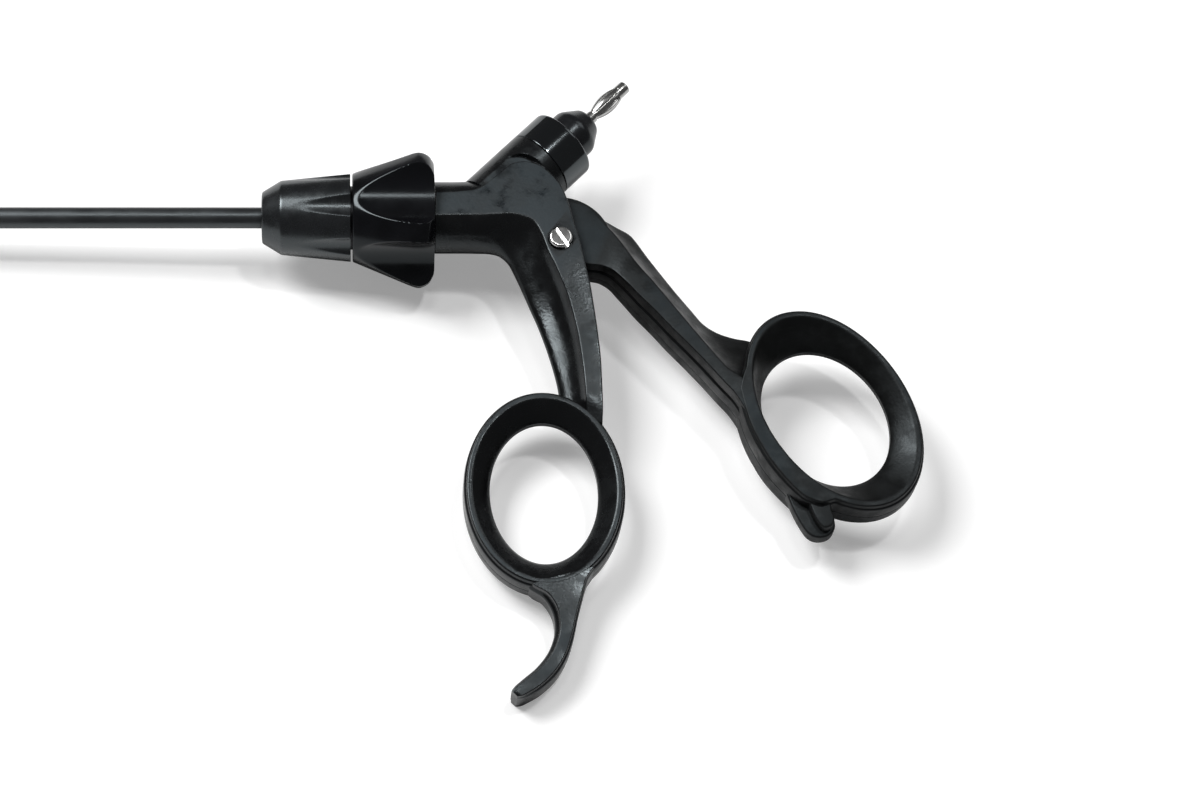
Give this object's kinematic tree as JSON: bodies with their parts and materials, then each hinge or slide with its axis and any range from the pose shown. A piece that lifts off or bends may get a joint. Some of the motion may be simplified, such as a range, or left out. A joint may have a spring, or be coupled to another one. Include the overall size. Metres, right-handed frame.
{
  "type": "laparoscopic scissors",
  "caption": "Laparoscopic scissors: pistol handle with finger and thumb rings, rotation knob, insulated shaft, double-action jaws and a plug post.",
  "frame": {"origin": "on the shaft axis at the front face of the nose nut", "axes": "+X along the shaft towards the handle's rear, +Y towards the plug post, +Z square to the handle's flat sides"},
  "size_m": [0.4811, 0.1566, 0.0319],
  "materials": {
    "handle_plastic": "fine-grained matte black moulding",
    "lever_plastic": "fine-grained matte black moulding",
    "knob_plastic": "glossy black moulding",
    "nut_plastic": "semi-gloss black moulding",
    "cap_plastic": "glossy black",
    "nipple_plastic": "satin black",
    "insulation": "satin black sleeve",
    "tube_steel": "drawn tube",
    "jaw_steel": "fine ground",
    "rod_steel": "drawn rod",
    "screw_steel": "polished",
    "pin_plating": "bright nickel",
    "contact_brass": "turned",
    "hub_steel": "turned",
    "white_polymer": "natural white",
    "seal_rubber": "soft",
    "bush_bronze": "sintered"
  },
  "bodies": {
    "handle": {"handle_body": "handle_plastic", "pivot_screw": "screw_steel", "pivot_nut": "screw_steel", "pivot_bush": "bush_bronze", "retaining_ring": "rod_steel", "post_cap": "cap_plastic", "post_nipple": "nipple_plastic", "pin_core": "pin_plating", "pin_cage": "pin_plating", "contact_insert": "contact_brass", "contact_plunger": "contact_brass", "contact_spring": "rod_steel"},
    "lever": {"thumb_lever": "lever_plastic", "socket_insert": "hub_steel", "lever_washers": "white_polymer"},
    "rotor": {"rotation_knob": "knob_plastic", "knob_grub": "screw_steel", "barrel_bush": "bush_bronze", "hub_sleeve": "hub_steel", "collet": "hub_steel", "nose_seal": "seal_rubber", "sheath_tube": "tube_steel", "sheath_insulation": "insulation", "tip_fork": "jaw_steel", "jaw_pin": "jaw_steel"},
    "nut": {"nose_nut": "nut_plastic"},
    "rod": {"draw_rod": "rod_steel", "rod_spacers": "white_polymer", "ball_end": "rod_steel", "drive_yoke": "rod_steel", "drive_pin": "rod_steel"},
    "upper_jaw": {"blade_upper": "jaw_steel"},
    "lower_jaw": {"blade_lower": "jaw_steel"}
  },
  "joints": [
    {"name": "lever_swing", "type": "hinge", "parent": "handle", "child": "lever", "pos_m": [0.0698, -0.0093, 0], "axis": [0, 0, -1], "range_deg": [0, 24]},
    {"name": "knob_turn", "type": "hinge", "parent": "handle", "child": "rotor", "pos_m": [0, 0, 0], "axis": [1, 0, 0], "continuous": true},
    {"name": "nut_turn", "type": "hinge", "parent": "rotor", "child": "nut", "pos_m": [0, 0, 0], "axis": [-1, 0, 0], "range_deg": [0, 90]},
    {"name": "rod_slide", "type": "slide", "parent": "rotor", "child": "rod", "axis": [1, 0, 0], "range_m": [0, 0.00395]},
    {"name": "upper_jaw_swing", "type": "hinge", "parent": "rotor", "child": "upper_jaw", "pos_m": [-0.315, 0, 0], "axis": [0, 0, 1], "range_deg": [0, 28.01]},
    {"name": "lower_jaw_swing", "type": "hinge", "parent": "rotor", "child": "lower_jaw", "pos_m": [-0.315, 0, 0], "axis": [0, 0, -1], "range_deg": [0, 28.01]}
  ],
  "couplings": [
    {"joint": "rod_slide", "follows": "lever_swing", "m_per_rad": 0.0094384},
    {"joint": "upper_jaw_swing", "follows": "lever_swing", "ratio": 1.1667},
    {"joint": "lower_jaw_swing", "follows": "lever_swing", "ratio": 1.1667}
  ]
}
